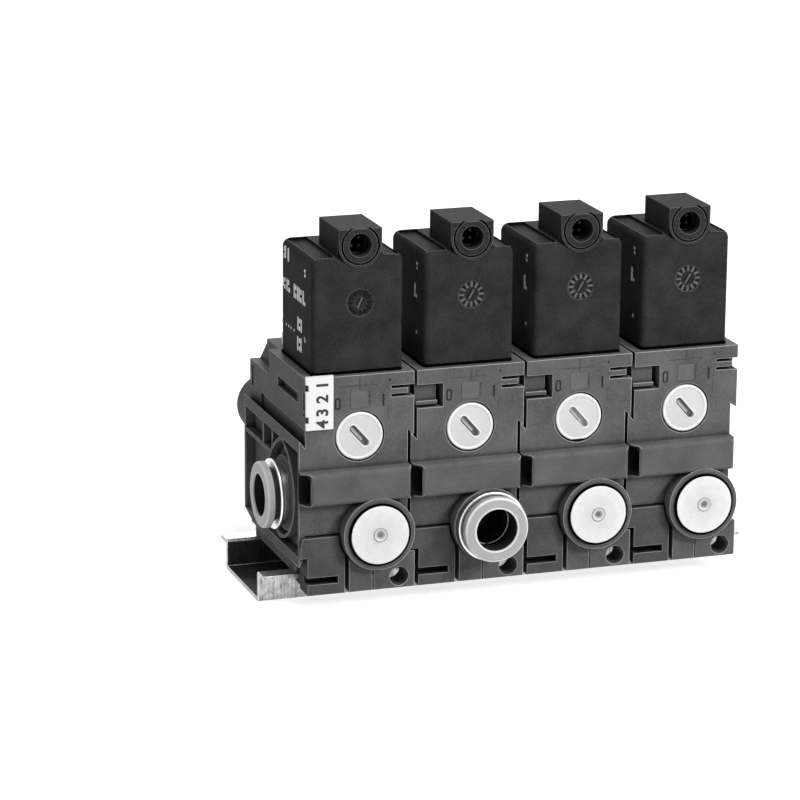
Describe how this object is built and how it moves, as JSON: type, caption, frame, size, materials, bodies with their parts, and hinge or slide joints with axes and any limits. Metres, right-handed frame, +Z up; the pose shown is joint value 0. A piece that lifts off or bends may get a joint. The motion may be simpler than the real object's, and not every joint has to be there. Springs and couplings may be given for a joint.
{
  "type": "solenoid valve block on a mounting rail",
  "caption": "Pneumatic solenoid valves joined side by side on a 35 mm mounting rail, with coils, manual override dials, rail latches and push-in tube fittings",
  "frame": {"origin": "the middle of the rail's underside, which is the middle of the bounding box's bottom", "axes": "+X along the rail from the supply fitting to the closed end, -Y out of the valves' fronts, +Z up from the rail to the coils"},
  "size_m": [0.121, 0.0644, 0.0901],
  "materials": {
    "rail_zinc": "zinc-plated steel strip, satin and slightly mottled",
    "body_plastic": "dark grey glass-filled moulding, matte",
    "coil_plastic": "near-black moulded housing, matte with a soft sheen",
    "white_plastic": "white turned or moulded plug, matte",
    "white_marker": "white label strip, matte",
    "dial_plastic": "light grey moulded dial, satin",
    "ring_plastic": "light grey moulded release ring, satin",
    "nickel_brass": "nickel-plated brass, bright",
    "contact_brass": "gold-plated contact pins",
    "seal_rubber": "black nitrile rubber",
    "spring_steel": "spring steel",
    "core_steel": "machined magnetic stainless steel",
    "winding_copper": "enamelled copper winding",
    "spool_aluminium": "turned aluminium"
  },
  "bodies": {
    "base": {"din_rail": "rail_zinc", "marker_strip": "white_marker", "supply_sleeve": "nickel_brass", "outlet_sleeve": "nickel_brass", "supply_grip_ring": "spring_steel", "outlet_grip_ring": "spring_steel", "tube_seals": "seal_rubber", "plug_seals": "seal_rubber", "gallery_seals": "seal_rubber", "end_plug": "nickel_brass", "coil_contacts": "contact_brass", "front_plug_1": "white_plastic", "front_plug_3": "white_plastic", "front_plug_4": "white_plastic", "valve_body_1": "body_plastic", "coil_1": "coil_plastic", "winding_1": "winding_copper", "core_tube_1": "core_steel", "armature_spring_1": "spring_steel", "spool_spring_1": "spring_steel", "rear_cap_1": "body_plastic", "valve_body_2": "body_plastic", "coil_2": "coil_plastic", "winding_2": "winding_copper", "core_tube_2": "core_steel", "armature_spring_2": "spring_steel", "spool_spring_2": "spring_steel", "rear_cap_2": "body_plastic", "valve_body_3": "body_plastic", "coil_3": "coil_plastic", "winding_3": "winding_copper", "core_tube_3": "core_steel", "armature_spring_3": "spring_steel", "spool_spring_3": "spring_steel", "rear_cap_3": "body_plastic", "valve_body_4": "body_plastic", "coil_4": "coil_plastic", "winding_4": "winding_copper", "core_tube_4": "core_steel", "armature_spring_4": "spring_steel", "spool_spring_4": "spring_steel", "rear_cap_4": "body_plastic"},
    "armature_body_1": {"armature_1": "core_steel"},
    "dial_body_1": {"override_dial_1": "dial_plastic"},
    "latch_body_1": {"rail_latch_1": "body_plastic"},
    "spool_body_1": {"spool_1": "spool_aluminium"},
    "armature_body_2": {"armature_2": "core_steel"},
    "dial_body_2": {"override_dial_2": "dial_plastic"},
    "latch_body_2": {"rail_latch_2": "body_plastic"},
    "spool_body_2": {"spool_2": "spool_aluminium"},
    "armature_body_3": {"armature_3": "core_steel"},
    "dial_body_3": {"override_dial_3": "dial_plastic"},
    "latch_body_3": {"rail_latch_3": "body_plastic"},
    "spool_body_3": {"spool_3": "spool_aluminium"},
    "armature_body_4": {"armature_4": "core_steel"},
    "dial_body_4": {"override_dial_4": "dial_plastic"},
    "latch_body_4": {"rail_latch_4": "body_plastic"},
    "spool_body_4": {"spool_4": "spool_aluminium"},
    "supply_ring_body": {"supply_release_ring": "ring_plastic"},
    "outlet_ring_body": {"outlet_release_ring": "ring_plastic"}
  },
  "joints": [
    {"name": "armature_lift_1", "type": "slide", "parent": "base", "child": "armature_body_1", "axis": [0, 0, 1], "range_m": [0, 0.0008], "stiffness_N_per_m": 400, "springref_m": -0.004, "deforming": ["armature_spring_1"]},
    {"name": "override_turn_1", "type": "hinge", "parent": "base", "child": "dial_body_1", "pos_m": [-0.03895, -0.017, 0.0415], "axis": [0, 1, 0], "range_deg": [0, 90]},
    {"name": "latch_pull_1", "type": "slide", "parent": "base", "child": "latch_body_1", "axis": [0, -1, 0], "range_m": [0, 0.004], "stiffness_N_per_m": 600, "springref_m": -0.003},
    {"name": "spool_shift_1", "type": "slide", "parent": "base", "child": "spool_body_1", "axis": [0, 1, 0], "range_m": [0, 0.0022], "stiffness_N_per_m": 500, "springref_m": -0.004, "deforming": ["spool_spring_1"]},
    {"name": "armature_lift_2", "type": "slide", "parent": "base", "child": "armature_body_2", "axis": [0, 0, 1], "range_m": [0, 0.0008], "stiffness_N_per_m": 400, "springref_m": -0.004, "deforming": ["armature_spring_2"]},
    {"name": "override_turn_2", "type": "hinge", "parent": "base", "child": "dial_body_2", "pos_m": [-0.01175, -0.017, 0.0415], "axis": [0, 1, 0], "range_deg": [0, 90]},
    {"name": "latch_pull_2", "type": "slide", "parent": "base", "child": "latch_body_2", "axis": [0, -1, 0], "range_m": [0, 0.004], "stiffness_N_per_m": 600, "springref_m": -0.003},
    {"name": "spool_shift_2", "type": "slide", "parent": "base", "child": "spool_body_2", "axis": [0, 1, 0], "range_m": [0, 0.0022], "stiffness_N_per_m": 500, "springref_m": -0.004, "deforming": ["spool_spring_2"]},
    {"name": "armature_lift_3", "type": "slide", "parent": "base", "child": "armature_body_3", "axis": [0, 0, 1], "range_m": [0, 0.0008], "stiffness_N_per_m": 400, "springref_m": -0.004, "deforming": ["armature_spring_3"]},
    {"name": "override_turn_3", "type": "hinge", "parent": "base", "child": "dial_body_3", "pos_m": [0.01545, -0.017, 0.0415], "axis": [0, 1, 0], "range_deg": [0, 90]},
    {"name": "latch_pull_3", "type": "slide", "parent": "base", "child": "latch_body_3", "axis": [0, -1, 0], "range_m": [0, 0.004], "stiffness_N_per_m": 600, "springref_m": -0.003},
    {"name": "spool_shift_3", "type": "slide", "parent": "base", "child": "spool_body_3", "axis": [0, 1, 0], "range_m": [0, 0.0022], "stiffness_N_per_m": 500, "springref_m": -0.004, "deforming": ["spool_spring_3"]},
    {"name": "armature_lift_4", "type": "slide", "parent": "base", "child": "armature_body_4", "axis": [0, 0, 1], "range_m": [0, 0.0008], "stiffness_N_per_m": 400, "springref_m": -0.004, "deforming": ["armature_spring_4"]},
    {"name": "override_turn_4", "type": "hinge", "parent": "base", "child": "dial_body_4", "pos_m": [0.04265, -0.017, 0.0415], "axis": [0, 1, 0], "range_deg": [0, 90]},
    {"name": "latch_pull_4", "type": "slide", "parent": "base", "child": "latch_body_4", "axis": [0, -1, 0], "range_m": [0, 0.004], "stiffness_N_per_m": 600, "springref_m": -0.003},
    {"name": "spool_shift_4", "type": "slide", "parent": "base", "child": "spool_body_4", "axis": [0, 1, 0], "range_m": [0, 0.0022], "stiffness_N_per_m": 500, "springref_m": -0.004, "deforming": ["spool_spring_4"]},
    {"name": "supply_ring_push", "type": "slide", "parent": "base", "child": "supply_ring_body", "axis": [1, 0, 0], "range_m": [0, 0.0012], "stiffness_N_per_m": 500, "springref_m": -0.002},
    {"name": "outlet_ring_push", "type": "slide", "parent": "base", "child": "outlet_ring_body", "axis": [0, 1, 0], "range_m": [0, 0.0012], "stiffness_N_per_m": 500, "springref_m": -0.002}
  ]
}
